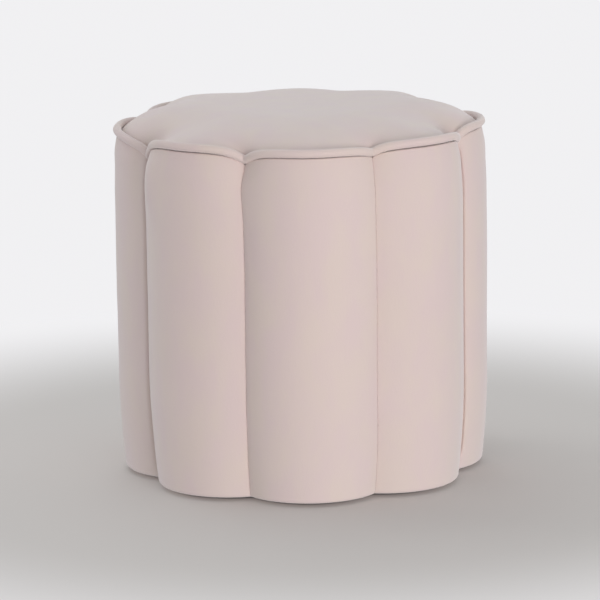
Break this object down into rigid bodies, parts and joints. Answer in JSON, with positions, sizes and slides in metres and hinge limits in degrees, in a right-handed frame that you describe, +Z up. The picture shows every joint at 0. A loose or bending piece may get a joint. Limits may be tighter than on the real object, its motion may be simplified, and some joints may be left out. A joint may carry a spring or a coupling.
{
  "type": "upholstered stool",
  "caption": "Round upholstered stool with upright padded lobes, a low domed seat, thick piping round the scalloped rim and floor glides, for sitting on or resting feet.",
  "frame": {"origin": "on the floor, under the middle of the stool", "axes": "+Z up through the middle of the seat, -Y towards the crest of lobe 1, +X to its right"},
  "size_m": [0.45, 0.45, 0.446],
  "materials": {
    "velvet": "short-pile blush velvet",
    "foam": "open-cell polyurethane foam",
    "wadding": "bonded polyester wadding",
    "cord": "twisted cotton piping cord",
    "cambric": "black non-woven cloth",
    "plywood": "raw birch plywood",
    "bent_plywood": "thin bent plywood",
    "timber": "planed pine",
    "zinc_steel": "zinc-plated steel",
    "glide_plastic": "moulded nylon"
  },
  "bodies": {
    "root": {"base_board": "plywood", "base_screws": "zinc_steel", "cover_staples": "zinc_steel", "dust_cover": "cambric", "dust_cover_staples": "zinc_steel", "former_pins": "zinc_steel", "frame_post_1": "timber", "frame_post_2": "timber", "frame_post_3": "timber", "frame_post_4": "timber", "frame_post_5": "timber", "frame_post_6": "timber", "frame_post_7": "timber", "frame_post_8": "timber", "glide_1": "glide_plastic", "glide_2": "glide_plastic", "glide_3": "glide_plastic", "glide_4": "glide_plastic", "glide_nails": "zinc_steel", "lobe_former_1": "bent_plywood", "lobe_former_2": "bent_plywood", "lobe_former_3": "bent_plywood", "lobe_former_4": "bent_plywood", "lobe_former_5": "bent_plywood", "lobe_former_6": "bent_plywood", "lobe_former_7": "bent_plywood", "lobe_former_8": "bent_plywood", "lobe_pad_1": "foam", "lobe_pad_2": "foam", "lobe_pad_3": "foam", "lobe_pad_4": "foam", "lobe_pad_5": "foam", "lobe_pad_6": "foam", "lobe_pad_7": "foam", "lobe_pad_8": "foam", "piping_core": "cord", "piping_cover": "velvet", "seat_foam": "foam", "seat_wadding": "wadding", "side_panel_1": "velvet", "side_panel_2": "velvet", "side_panel_3": "velvet", "side_panel_4": "velvet", "side_panel_5": "velvet", "side_panel_6": "velvet", "side_panel_7": "velvet", "side_panel_8": "velvet", "top_board": "plywood", "top_panel": "velvet", "top_screws": "zinc_steel"}
  },
  "joints": []
}
